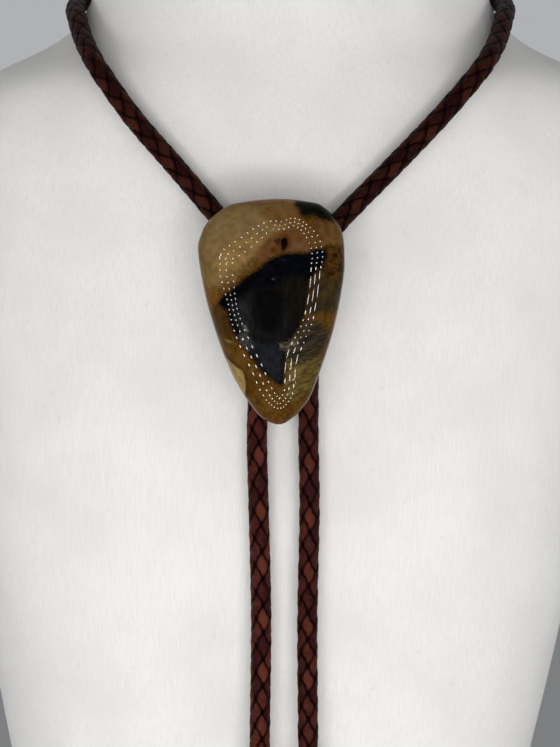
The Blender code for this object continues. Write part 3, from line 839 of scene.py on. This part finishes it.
@dataclass
class NeckBust:
    """The plain bust that the tie hangs on, a hollow shell covered in white leatherette."""

    height: float = 290 * MM
    half_width: float = 103 * MM
    front: float = 66 * MM
    back: float = 49 * MM
    lean: float = 7.6 * MM
    sides: int = 168
    steps: int = 8
    # Shares of the height: the gap between rings, and how far the padding evens out a crease.
    section_step: float = 0.008
    softening: float = 0.012
    # The CAD model's own steps, so that the slide sits where its node is.
    chest_steps: int = 2
    edge_radius: float = 2.2 * MM
    edge_steps: int = 6
    slide_x: float = 4.8 * MM
    slide_z: float = 173.0 * MM

    def section_ring(self, section: np.ndarray) -> np.ndarray:
        """Work out the points round one section, from +X over the back.

        Args:
            section: A row of BUST_SECTIONS, or one between its rows.

        Returns:
            The ring's points, one a row.
        """
        height, half_width, widest_line, front, back, squareness = section
        turns = np.linspace(0.0, 2 * math.pi, self.sides, endpoint=False)
        across, along = np.cos(turns), np.sin(turns)
        depth = np.where(along > 0, self.back * back, self.front * front)
        power = 2 / squareness
        x = self.lean * height + np.sign(across) * np.abs(across) ** power * self.half_width * half_width
        y = self.back * widest_line + np.sign(along) * np.abs(along) ** power * depth
        return np.column_stack([x, y, np.full(self.sides, self.height * height)])

    def build(self) -> bpy.types.Object:
        """Loft the bust through its sections and round the edges of its base and its neck.

        Returns:
            The bust.
        """
        sections = softened(smooth_curve(BUST_SECTIONS, self.steps), self.section_step, self.softening)
        rings = [self.section_ring(section) for section in sections]
        rings = self.rounded_edge(rings[::-1], 1.0)[::-1]
        rings = self.rounded_edge(rings, -1.0)
        piece = skin("neck_bust_cover", [np.array(rings)])
        return finish_piece(piece, "neck_bust", CoatedLeatherette())

    def rounded_edge(self, rings: list[np.ndarray], inward: float) -> list[np.ndarray]:
        """Round the edge at the last ring.

        Args:
            rings: The rings, the edge's own ring last.
            inward: The way along Z from the edge into the bust, 1 or -1.

        Returns:
            The rings with the last one replaced by a rounded edge.
        """
        last = rings[-1]
        kept = [ring for ring in rings if abs(ring[0, 2] - last[0, 2]) > self.edge_radius]
        middle = last.mean(axis=0)
        reach = np.linalg.norm(last - middle, axis=1, keepdims=True)
        rounding = []
        for turn in np.linspace(0.0, math.pi / 2, self.edge_steps + 1):
            inset = self.edge_radius * (1 - math.cos(turn))
            ring = middle + (last - middle) * (1 - inset / reach)
            ring[:, 2] = last[:, 2] + inward * self.edge_radius * (1 - math.sin(turn))
            rounding.append(ring)
        return kept + rounding

    def chest_frame(self) -> Matrix:
        """Work out the frame that the slide sits in.

        Returns:
            The frame: its origin on the chest, X across, Y up the chest and Z out of it.
        """
        front = []
        for height, _, widest_line, depth, _, _ in smooth_curve(BUST_SECTIONS, self.chest_steps):
            y = self.back * widest_line - self.front * depth
            front.append(Vector((0.0, y, self.height * height)))
        low, high = next((a, b) for a, b in zip(front, front[1:]) if a.z <= self.slide_z < b.z)
        place = low.lerp(high, (self.slide_z - low.z) / (high.z - low.z))
        place.x = self.slide_x
        up = (high - low).normalized()
        across = Vector((1.0, 0.0, 0.0))
        turn = Matrix((across, up, across.cross(up))).transposed().to_4x4()
        return Matrix.Translation(place) @ turn


@dataclass
class StoneSlide:
    """The freeform cabochon of the slide and the clasp that holds it on the cord."""

    chest: Matrix
    width: float = 42.3 * MM
    height: float = 65.3 * MM
    thickness: float = 9.0 * MM
    girdle: float = 2.6 * MM
    back_bevel: float = 0.9 * MM
    across: float = -3.5 * MM
    up: float = 3.5 * MM
    sides: int = 224
    dome_rings: int = 56
    bevel_steps: int = 4
    outline_steps: int = 8
    patch_steps: int = 4
    # How much rounder than the outline the dome's level lines get towards its top.
    roundness: float = 0.55
    ripple: float = 0.010 * MM
    ripple_length: float = 8.5 * MM
    tail_spacing: float = 14.6 * MM
    channel_length: float = 14.0 * MM
    channel_radius: float = 4.2 * MM
    bore_radius: float = 3.4 * MM
    plate_thickness: float = 1.6 * MM
    touch_gap: float = 0.3 * MM
    clasp_height: float = 9.9 * MM
    clasp_sides: int = 64
    clasp_edge: float = 0.25 * MM
    clasp_edge_steps: int = 3

    def outline(self) -> np.ndarray:
        """Work out the outline.

        Returns:
            Evenly spaced points in the stone's plane, one a row.
        """
        half = (self.width / 2, self.height / 2)
        smooth = smooth_curve(STONE_OUTLINE, self.outline_steps, closed=True) * half
        return evenly_spaced(np.vstack([smooth, smooth[:1]]), self.sides)[:-1]

    def level(self, outline: np.ndarray, share: float) -> np.ndarray:
        """Work out one of the dome's level lines.

        Args:
            outline: The stone's outline.
            share: The line's size as a share of the outline.

        Returns:
            The line's points, one a row.
        """
        half = np.array([self.width / 2, self.height / 2])
        reach = np.linalg.norm(outline / half, axis=1, keepdims=True)
        oval = outline / reach * reach.mean()
        keep = 1 - self.roundness * (1 - share)
        return share * (outline * keep + oval * (1 - keep))

    def build_stone(self) -> bpy.types.Object:
        """Build the stone from its flat back over the girdle to the top of its dome.

        Returns:
            The stone.
        """
        outline = self.outline()
        rings = []
        for turn in np.linspace(0.0, math.pi / 2, self.bevel_steps + 1):
            inset = self.back_bevel * (1 - math.sin(turn)) / (self.width / 2)
            rings.append(self.ring(outline * (1 - inset), self.back_bevel * (1 - math.cos(turn))))
        for k in range(self.dome_rings):
            share = math.cos(math.pi / 2 * k / self.dome_rings)
            rise = (self.thickness - self.girdle) * math.sqrt(1 - share ** 2)
            rings.append(self.ring(self.level(outline, share), self.girdle + rise))
        piece = skin("stone_cabochon", [np.array(rings)])
        self.ripple_surface(piece)
        place = points_of(piece) / MM
        write_attribute(piece, "stone_place", place)
        finish = PolishedAgate()
        for patch in finish.patches:
            edge = smooth_curve(patch.outline, self.patch_steps, closed=True)
            write_attribute(piece, "in_" + patch.name, depth_inside(place[:, :2], edge))
        piece.data.transform(self.seat())
        return finish_piece(piece, "stone", finish)

    def seat(self) -> Matrix:
        """Return the stone's place on the clasp."""
        lift = self.clasp_height + self.touch_gap
        return self.chest @ Matrix.Translation((self.across, self.up, lift))

    def ring(self, plane: np.ndarray, height: float) -> np.ndarray:
        """Lift points of the stone's plane to a height and return them."""
        return np.column_stack([plane, np.full(len(plane), height)])

    def ripple_surface(self, piece: bpy.types.Object) -> None:
        """Give the dome the slight waves that hand grinding leaves.

        Args:
            piece: The stone, its back still on z = 0.
        """
        for vertex in piece.data.vertices:
            rise = max(0.0, vertex.co.z - self.girdle) / (self.thickness - self.girdle)
            vertex.co.z += self.ripple * rise * noise.noise(vertex.co / self.ripple_length)

    def build_clasp(self) -> bpy.types.Object:
        """Build the clasp: two channels for the cord under the plate that holds the stone.

        Returns:
            The clasp.
        """
        low, high = -self.channel_length / 2, self.channel_length / 2
        profile = [(self.bore_radius, 0.0), (self.bore_radius, low), (self.channel_radius, low),
                   (self.channel_radius, high), (self.bore_radius, high), (self.bore_radius, 0.0)]
        channel = circles(rounded(profile, self.clasp_edge)[:-1], self.clasp_sides)
        tubes = []
        for x in (-self.tail_spacing / 2, self.tail_spacing / 2):
            lift = Matrix.Translation((x, 0.0, self.touch_gap + self.channel_radius))
            tubes.append(placed(channel, lift @ Matrix.Rotation(math.pi / 2, 4, "X")))
        piece = skin("slide_clasp_plate", tubes, loop=True)
        bm = bmesh.new()
        bm.from_mesh(piece.data)
        size = (self.tail_spacing + 2 * self.channel_radius, self.channel_length, self.plate_thickness)
        middle = Matrix.Translation((0.0, 0.0, self.clasp_height - self.plate_thickness / 2))
        plate = bmesh.ops.create_cube(bm, size=1.0, matrix=middle @ Matrix.Diagonal((*size, 1.0)))
        edges = list({edge for vertex in plate["verts"] for edge in vertex.link_edges})
        bmesh.ops.bevel(bm, geom=edges, offset=self.clasp_edge, segments=self.clasp_edge_steps,
                        profile=0.5, affect="EDGES")
        bm.transform(self.chest)
        bm.to_mesh(piece.data)
        bm.free()
        piece.data.set_sharp_from_angle(angle=SHARP_ANGLE)
        return finish_piece(piece, "slide_clasp", NickelPlate())


class Lay(Enum):
    """Which way a lace winds round the cord."""

    CLOCKWISE = 1
    ANTICLOCKWISE = -1


@dataclass(frozen=True)
class Lace:
    """One lace of the braid: its way round, its place among those of that way, and how rusty it is."""

    lay: Lay
    place: int
    rust: float


@dataclass
class BraidedCord:
    """Eight flat laces braided round a core and pulled tight, with a metal tip on each tail."""

    diameter: float = 6.0 * MM
    # How far the highest stitches stand past the cord's radius
    pride: float = 0.08 * MM
    stitch_spacing: float = 7.9 * MM
    lace_width: float = 4.25 * MM
    lace_thickness: float = 1.3 * MM
    # How far a lace rises over and dips under its middle level, the power that makes the step
    # between the two steeper the lower it is, and the lace's swing sideways in radians
    rise: float = 0.38 * MM
    flatness: float = 0.42
    swing: float = 0.03
    # A lace's own section: 2 is an ellipse, and more is squarer. Its inner side needs two corners.
    squareness: float = 2.8
    outer_points: int = 8
    inner_corners_degrees: tuple[float, float] = (240.0, 300.0)
    rows_per_stitch: int = 13
    # The core is hidden, so it has few sides and a ring at every sixteenth point of the path
    core_radius: float = 1.9 * MM
    core_sides: int = 8
    core_stride: int = 16
    # How much the dye of one stitch may differ from its lace's own
    dye_spread: float = 0.3
    # The middle of the neck, which the braid's turns are counted from
    neck_axis: tuple[float, float] = (7.2 * MM, 2.0 * MM)
    path_steps: int = 24
    path_step: float = 0.25 * MM
    laces: tuple[Lace, ...] = (
        Lace(Lay.CLOCKWISE, 0, 0.25), Lace(Lay.CLOCKWISE, 1, 0.95),
        Lace(Lay.CLOCKWISE, 2, 0.35), Lace(Lay.CLOCKWISE, 3, 0.90),
        Lace(Lay.ANTICLOCKWISE, 0, 0.28), Lace(Lay.ANTICLOCKWISE, 1, 0.15),
        Lace(Lay.ANTICLOCKWISE, 2, 0.42), Lace(Lay.ANTICLOCKWISE, 3, 0.22),
    )
    # How far the braid has turned at shares of its length
    twist_degrees: tuple[tuple[float, float], ...] = (
        (0.0, -68.0), (0.19, -68.0), (0.24, -86.0), (0.36, -86.0), (0.64, -180.0), (1.0, -178.0))
    # How much of the tails' lighter tone it has at shares of its length; the stretch round the neck has
    # almost none, and gets painted shade with a darker dye
    tail_tone: tuple[tuple[float, float], ...] = ((0.0, 1.0), (0.17, 1.0), (0.24, 0.1), (0.76, 0.0),
                                             (0.83, 0.75), (1.0, 0.72))
    tip_length: float = 26.0 * MM
    tip_wall: float = 0.5 * MM
    tip_socket: float = 8.0 * MM
    tip_shoulder: float = 16.0 * MM
    tip_nose: float = 1.8 * MM
    tip_gap: float = 0.3 * MM
    tip_sides: int = 72
    tip_edge: float = 0.35 * MM
    # The radius that stands for none, so that a ring never shrinks to a point
    tip_least_radius: float = 0.01 * MM
    path: np.ndarray = field(init=False)
    reached: np.ndarray = field(init=False)
    length: float = field(init=False)
    out: np.ndarray = field(init=False)
    side: np.ndarray = field(init=False)

    def __post_init__(self) -> None:
        """Work out the path, its length, and two ways across it at each point."""
        smooth = smooth_curve(CORD_ROUTE, self.path_steps)
        gaps = round(np.linalg.norm(np.diff(smooth, axis=0), axis=1).sum() / self.path_step)
        self.path = evenly_spaced(smooth, gaps)
        steps = np.linalg.norm(np.diff(self.path, axis=0), axis=1)
        self.reached = np.concatenate([[0.0], np.cumsum(steps)])
        self.length = float(self.reached[-1])
        along = np.gradient(self.path, axis=0)
        along /= np.linalg.norm(along, axis=1, keepdims=True)
        out = self.path - np.array([*self.neck_axis, 0.0])
        out[:, 2] = 0.0
        out -= (out * along).sum(axis=1, keepdims=True) * along
        self.out = out / np.linalg.norm(out, axis=1, keepdims=True)
        self.side = np.cross(along, self.out)

    def lace_section(self, lay: int) -> tuple[np.ndarray, np.ndarray]:
        """Work out a lace's own section, which is more finely made on its outer side.

        Args:
            lay: The way that the lace winds, 1 or -1.

        Returns:
            Each point's distance across the lace and out of it.
        """
        outer = np.linspace(0.0, 180.0, self.outer_points)
        corner = np.radians([*outer, *self.inner_corners_degrees])[::lay]
        power = 2 / self.squareness
        width = self.lace_width / 2 * np.sign(np.cos(corner)) * np.abs(np.cos(corner)) ** power
        depth = self.lace_thickness / 2 * np.sign(np.sin(corner)) * np.abs(np.sin(corner)) ** power
        return width, depth

    def stitch_dye(self, lace: Lace, run: np.ndarray) -> np.ndarray:
        """Draw how rusty each stitch of a lace is.

        Args:
            lace: The lace.
            run: How far along the cord each ring of the lace is.

        Returns:
            The share of rust at each ring, from 0 to 1.
        """
        half_on = 0.0 if lace.lay is Lay.CLOCKWISE else 0.5
        stitch = np.round(run / self.stitch_spacing - half_on).astype(int)
        draw = np.random.default_rng(SEED + self.laces.index(lace))
        shades = draw.uniform(-self.dye_spread, self.dye_spread, stitch.max() + 3)
        return np.clip(lace.rust + shades[stitch + 1], 0.0, 1.0)

    def lace_rings(self, lace: Lace) -> tuple[np.ndarray, dict[str, np.ndarray]]:
        """Sweep one lace along the braid.

        Args:
            lace: The lace.

        Returns:
            Its rings of points, and what its material reads at each point.
        """
        strands = len(self.laces) // 2
        beat = 2 * math.pi / self.stitch_spacing
        wave = beat / strands
        count = round(self.length / self.stitch_spacing * self.rows_per_stitch)
        run = np.linspace(0.0, self.length, count)
        lay = lace.lay.value
        turn = lay * wave * run - self.swing * np.sin(beat * run) + lace.place / strands * 2 * math.pi
        pace = lay * wave - self.swing * beat * np.cos(beat * run)
        middle = self.diameter / 2 + self.pride - self.lace_thickness / 2 - self.rise
        wrap = middle + self.rise
        lean = np.arctan(wrap * pace)
        width, depth = self.lace_section(lay)
        reach = np.clip(run[:, None] - width[None] * np.sin(lean)[:, None], 0.0, self.length)
        angle = turn[:, None] + width[None] * np.cos(lean)[:, None] / wrap
        # A point's level follows from where it lies on the cord, so two laces that cross change
        # places along one line.
        crossed = angle + self.swing * np.sin(beat * reach) + lay * wave * reach
        lift = lay * np.cos(strands / 2 * crossed - math.pi * lace.place)
        rho = middle + self.rise * np.sign(lift) * np.abs(lift) ** self.flatness + depth[None]
        angle += np.radians(np.interp(run / self.length, *zip(*self.twist_degrees)))[:, None]
        spot, out, side = (
            np.stack([np.interp(reach, self.reached, column) for column in table.T], axis=-1)
            for table in (self.path, self.out, self.side)
        )
        outward = out * np.cos(angle)[..., None] + side * np.sin(angle)[..., None]
        rows = np.ones_like(rho)
        facts = {
            "lace_place": np.stack([rows * run[:, None], rows * width, rows * self.laces.index(lace)],
                                   axis=-1),
            "stitch_shade": rows * self.stitch_dye(lace, run)[:, None],
            "lace_across": rows * (width / (self.lace_width / 2)),
            "braid_radius": rho,
            # How much of the tails' lighter tone each ring has, against the painted shade round the neck
            "tail_tone": rows * np.interp(run / self.length, *zip(*self.tail_tone))[:, None],
        }
        return spot + rho[..., None] * outward, facts

    def core_rings(self) -> tuple[np.ndarray, dict[str, np.ndarray]]:
        """Sweep the core that the laces lie round.

        Returns:
            Its rings of points, and what its material reads at each point.
        """
        turns = np.linspace(0.0, 2 * math.pi, self.core_sides, endpoint=False)[None, :, None]
        path, out, side = (table[::self.core_stride, None] for table in (self.path, self.out, self.side))
        rings = path + self.core_radius * (out * np.cos(turns) + side * np.sin(turns))
        rows = np.zeros(rings.shape[:2])
        facts = {"lace_place": rings, "stitch_shade": rows, "lace_across": rows, "braid_radius": rows,
                 "tail_tone": rows}
        return rings, facts

    def build(self) -> bpy.types.Object:
        """Braid the laces into one piece.

        Returns:
            The cord.
        """
        tubes, facts = zip(self.core_rings(), *(self.lace_rings(lace) for lace in self.laces))
        piece = skin("cord_braid", list(tubes))
        for name in facts[0]:
            columns = []
            for fact in facts:
                flat = fact[name].reshape(-1, 3) if fact[name].ndim == 3 else fact[name].ravel()
                columns += [flat, flat[:1], flat[-1:]]
            write_attribute(piece, name, np.concatenate(columns))
        return finish_piece(piece, "cord", BridleLeather())

    def build_tip(self, name: str, node: str, end: np.ndarray, before: np.ndarray) -> bpy.types.Object:
        """Turn a tapered tip round the end of a tail.

        Args:
            name: The piece's name.
            node: The CAD node that it stands for.
            end: The end of the tail.
            before: A point of the tail above its end.

        Returns:
            The tip.
        """
        socket = self.diameter / 2 + self.tip_gap
        rim = socket + self.tip_wall
        bottom = self.tip_socket + self.tip_gap
        outer = [(rim, 0.0), (rim, self.tip_shoulder),
                 (self.tip_nose, self.tip_length - self.tip_nose / 2),
                 (self.tip_nose / 2, self.tip_length), (0.0, self.tip_length)]
        inner = [(0.0, bottom), (socket, bottom), (socket, 0.0)]
        profile = rounded(inner + outer, self.tip_edge)
        down = Vector(end - before).normalized()
        mouth = Vector(end) - down * self.tip_socket
        place = Matrix.Translation(mouth) @ down.to_track_quat("Z", "Y").to_matrix().to_4x4()
        open_profile = np.maximum(profile, [self.tip_least_radius, 0.0])
        piece = skin(name, [placed(circles(open_profile, self.tip_sides), place)])
        piece.data.set_sharp_from_angle(angle=SHARP_ANGLE)
        return finish_piece(piece, node, NickelPlate())


@dataclass(frozen=True)
class PaintedBoard(Finish):
    """Board with a coat of matt wall paint, for the floor. The eye gets an even pale ground."""

    name: str = "matt_painted_board"
    colour: str = "#C9CBCC"
    roughness: float = 0.9

    def dress(self, tree: bpy.types.NodeTree, shader: bpy.types.Node) -> None:
        """Set the paint's colour and its roughness."""
        shader.inputs["Base Color"].default_value = linear(self.colour)
        shader.inputs["Roughness"].default_value = self.roughness


@dataclass(frozen=True)
class LitDiodes(Finish):
    """White diodes cast in clear resin, lit. The eye gets them only as sparks in the polish."""

    name: str = "white_diodes"
    unlit: str = "#000000"
    colour: str = "#FFFDF6"
    strength: float = 22.0

    def dress(self, tree: bpy.types.NodeTree, shader: bpy.types.Node) -> None:
        """Set the diodes' light.

        Args:
            tree: The material's node tree.
            shader: Its Principled shader.
        """
        shader.inputs["Base Color"].default_value = linear(self.unlit)
        shader.inputs["Emission Color"].default_value = linear(self.colour)
        shader.inputs["Emission Strength"].default_value = self.strength


@dataclass(frozen=True)
class SoftLamp:
    """A soft lamp that isn't mirrored itself, with places in metres and its power in watts.

    It is as high as wide if its height is left out, and shines at the stone if its target is.
    """

    name: str
    place: tuple[float, float, float]
    width: float
    power: float
    height: float | None = None
    spread_degrees: float = 180.0
    target: tuple[float, float, float] | None = None


# The lamps beside the ring: two behind the bust, and three low ones that shine at its foot.
BUST_FOOT = (0.0, -0.06, 0.02)
ROOM_LAMPS = (
    SoftLamp("back_left", (-1.7, 2.0, 1.0), width=1.2, power=6.0),
    SoftLamp("back_right", (1.7, 2.0, 1.0), width=1.2, power=6.0),
    SoftLamp("low_front", (0.0, -0.95, 0.17), width=1.7, power=0.3, height=0.3,
             spread_degrees=55.0, target=BUST_FOOT),
    SoftLamp("low_left", (-0.95, -0.4, 0.15), width=0.4, power=1.8, height=0.28, target=BUST_FOOT),
    SoftLamp("low_right", (0.95, -0.4, 0.15), width=0.4, power=1.8, height=0.28, target=BUST_FOOT),
)


@dataclass
class Studio:
    """The floor, the surroundings, the lights and the camera."""

    focus: Vector
    outward: Vector
    camera_place: Vector = Vector((3.8 * MM, -1265.0 * MM, 264.5 * MM))
    camera_down_degrees: float = 5.0
    focal_length_mm: float = 199.42
    sensor_mm: float = 36.0
    clip: tuple[float, float] = (0.01, 100.0)
    lamps: tuple[SoftLamp, ...] = ROOM_LAMPS
    ring_distance: float = 1.1
    ring_radius: float = 0.7
    ring_lamps: int = 12
    ring_lamp_size: float = 0.3
    # The ring's top lamp has the high power in watts, and the others have more the lower they hang,
    # up to the low power on top of it.
    low_power: float = 2.1
    high_power: float = 0.17
    power_curve: float = 1.5
    diode_distance: float = 0.55
    diode_sides: int = 8
    # How far in front of the stone the rays start that find a spark's place on it, and the least
    # cosine at which a mirrored ray may meet the diodes' plane.
    ray_start: float = 0.1
    least_slant: float = 0.1
    floor_radius: float = 6.0
    floor_sides: int = 96
    air_colour: str = "#AFB1B4"
    fill_colour: str = "#818284"
    dark_colour: str = "#06070A"
    # Where the mirrored room turns from dark to light, as the Y of the way looked.
    dark_range: tuple[float, float] = (-0.35, 0.5)

    def build(self) -> None:
        """Set everything up round the object."""
        self.place_camera()
        self.lay_floor()
        self.fill_air()
        self.hang_ring()
        for lamp in self.lamps:
            self.hang_lamp(lamp)

    def place_camera(self) -> None:
        """Put the camera where the photograph was taken from."""
        data = bpy.data.cameras.new("photo_camera")
        data.sensor_fit = "VERTICAL"
        data.sensor_height = self.sensor_mm
        data.lens = self.focal_length_mm
        data.clip_start, data.clip_end = self.clip
        camera = bpy.data.objects.new("photo_camera", data)
        camera.location = self.camera_place
        camera.rotation_euler = (math.radians(90.0 - self.camera_down_degrees), 0.0, 0.0)
        bpy.context.scene.collection.objects.link(camera)
        bpy.context.scene.camera = camera

    def lay_floor(self) -> None:
        """Lay a plain pale floor."""
        bm = bmesh.new()
        bmesh.ops.create_circle(bm, cap_ends=True, segments=self.floor_sides, radius=self.floor_radius)
        mesh = bpy.data.meshes.new("studio_floor")
        bm.to_mesh(mesh)
        bm.free()
        floor = bpy.data.objects.new("studio_floor", mesh)
        bpy.context.scene.collection.objects.link(floor)
        mesh.materials.append(PaintedBoard().material())
        floor.visible_glossy = False
        floor.visible_shadow = False

    def fill_air(self) -> None:
        """Give soft light from all round, and a dark room in front for the polish to mirror."""
        world = bpy.data.worlds.new("studio_air")
        bpy.context.scene.world = world
        world.use_nodes = True
        tree = world.node_tree
        way = add_node(tree, "TexCoord").outputs["Generated"]
        along = add_node(tree, "SeparateXYZ", {0: way}).outputs["Y"]
        back = add_node(tree, "MapRange", {"Value": along, "From Min": self.dark_range[0],
                                           "From Max": self.dark_range[1]})
        mirrored = add_node(tree, "Mix", {0: back.outputs[0], 6: linear(self.dark_colour),
                                          7: linear(self.air_colour)}, data_type="RGBA")
        ray = add_node(tree, "LightPath")
        lit = add_node(tree, "Mix", {0: ray.outputs["Is Camera Ray"], 6: linear(self.fill_colour),
                                     7: linear(self.air_colour)}, data_type="RGBA")
        seen = add_node(tree, "Mix", {0: ray.outputs["Is Glossy Ray"], 6: lit.outputs[2],
                                      7: mirrored.outputs[2]}, data_type="RGBA")
        tree.links.new(seen.outputs[2], tree.nodes["Background"].inputs["Color"])

    def ring_point(self, turn: float) -> Vector:
        """Work out a point of the ring light, which stands round the camera's axis.

        Args:
            turn: How far round it is from +X, in radians.

        Returns:
            The point.
        """
        towards = (self.camera_place - self.focus).normalized()
        across = Vector((1.0, 0.0, 0.0))
        up = towards.cross(across)
        middle = self.focus + towards * self.ring_distance
        return middle + (across * math.cos(turn) + up * math.sin(turn)) * self.ring_radius

    def hang_ring(self) -> None:
        """Hang the ring of soft lamps that lights the front."""
        for k in range(self.ring_lamps):
            turn = 2 * math.pi * k / self.ring_lamps
            low = ((1 - math.sin(turn)) / 2) ** self.power_curve
            power = self.high_power + self.low_power * low
            place = tuple(self.ring_point(turn))
            self.hang_lamp(SoftLamp(f"ring_{k:02d}", place, self.ring_lamp_size, power))

    def hang_diodes(self, stone: bpy.types.Object, seat: Matrix) -> None:
        """Hang the bright diodes of the ring where the polish mirrors them to the camera.

        Args:
            stone: The stone.
            seat: The stone's place, its own X across and its own Y up.
        """
        towards = (self.camera_place - self.focus).normalized()
        middle = self.focus + towards * self.diode_distance
        points, faces = [], []
        for spot, along, length in diode_spots():
            corners = []
            for k in range(self.diode_sides):
                turn = 2 * math.pi * k / self.diode_sides
                aside = Vector((-along.y, along.x))
                place = spot + along * (math.cos(turn) * (SPARK_RADIUS + length / 2))
                place += aside * (math.sin(turn) * SPARK_RADIUS / (1 + SPARK_THINNING * length))
                above = seat @ Vector((*(place * MM), self.ray_start))
                corners.append(self.mirrored(stone, above, middle, towards))
            if all(corners):
                faces.append(range(len(points), len(points) + len(corners)))
                points += corners
        mesh = bpy.data.meshes.new("ring_diodes")
        mesh.from_pydata(points, [], faces)
        diodes = bpy.data.objects.new("ring_diodes", mesh)
        bpy.context.scene.collection.objects.link(diodes)
        mesh.materials.append(LitDiodes().material())
        diodes.visible_camera = False
        diodes.visible_diffuse = False
        diodes.visible_shadow = False

    def mirrored(self, stone: bpy.types.Object, above: Vector, middle: Vector,
                 towards: Vector) -> Vector | None:
        """Follow a camera ray off the stone to the plane of the diodes.

        Args:
            stone: The stone.
            above: A point in front of the stone, over the spot that mirrors.
            middle: A point of the diodes' plane.
            towards: The plane's normal, towards the camera.

        Returns:
            Where the mirrored ray meets the plane, or nothing where it doesn't.
        """
        hit, place, _, face = stone.ray_cast(above, -self.outward)
        if not hit:
            return None
        corners = [stone.data.vertices[index] for index in stone.data.polygons[face].vertices]
        shares = poly_3d_calc([corner.co for corner in corners], place)
        normal = sum((corner.normal * share for corner, share in zip(corners, shares)), Vector())
        ray = (place - self.camera_place).normalized().reflect(normal.normalized())
        if ray.dot(towards) < self.least_slant:
            return None
        return place + ray * ((middle - place).dot(towards) / ray.dot(towards))

    def hang_lamp(self, lamp: SoftLamp) -> None:
        """Hang a soft lamp.

        Args:
            lamp: What the lamp is.
        """
        data = bpy.data.lights.new(lamp.name, "AREA")
        data.shape = "ELLIPSE"
        data.size = lamp.width
        data.size_y = lamp.height or lamp.width
        data.energy = lamp.power
        data.spread = math.radians(lamp.spread_degrees)
        place = Vector(lamp.place)
        target = Vector(lamp.target) if lamp.target else self.focus
        hung = bpy.data.objects.new(lamp.name, data)
        hung.location = place
        hung.rotation_euler = (place - target).to_track_quat("Z", "Y").to_euler()
        hung.visible_camera = False
        hung.visible_glossy = False
        bpy.context.scene.collection.objects.link(hung)


def report(piece: bpy.types.Object) -> bpy.types.Object:
    """Log a piece's name and size.

    Args:
        piece: The piece.

    Returns:
        The same piece.
    """
    triangles = sum(len(polygon.vertices) - 2 for polygon in piece.data.polygons)
    log.info("%s: %d triangles", piece.name, triangles)
    return piece


def main() -> None:
    """Build the studio, then each piece in turn."""
    logging.basicConfig(level=logging.INFO, format="%(name)s: %(message)s")
    bpy.context.scene.view_settings.view_transform = "Standard"
    bust = NeckBust()
    slide = StoneSlide(chest=bust.chest_frame())
    seat = slide.seat()
    studio = Studio(focus=seat.translation, outward=seat.col[2].xyz)
    studio.build()
    cord = BraidedCord()
    braid = report(cord.build())
    above_left, above_right = np.array(CORD_ROUTE[1]), np.array(CORD_ROUTE[-2])
    left = report(cord.build_tip("tip_left_turned", "tip_left", cord.path[0], above_left))
    right = report(cord.build_tip("tip_right_turned", "tip_right", cord.path[-1], above_right))
    report(bust.build())
    stone = report(slide.build_stone())
    report(slide.build_clasp())
    studio.hang_diodes(stone, seat)


if __name__ == "__main__":
    main()
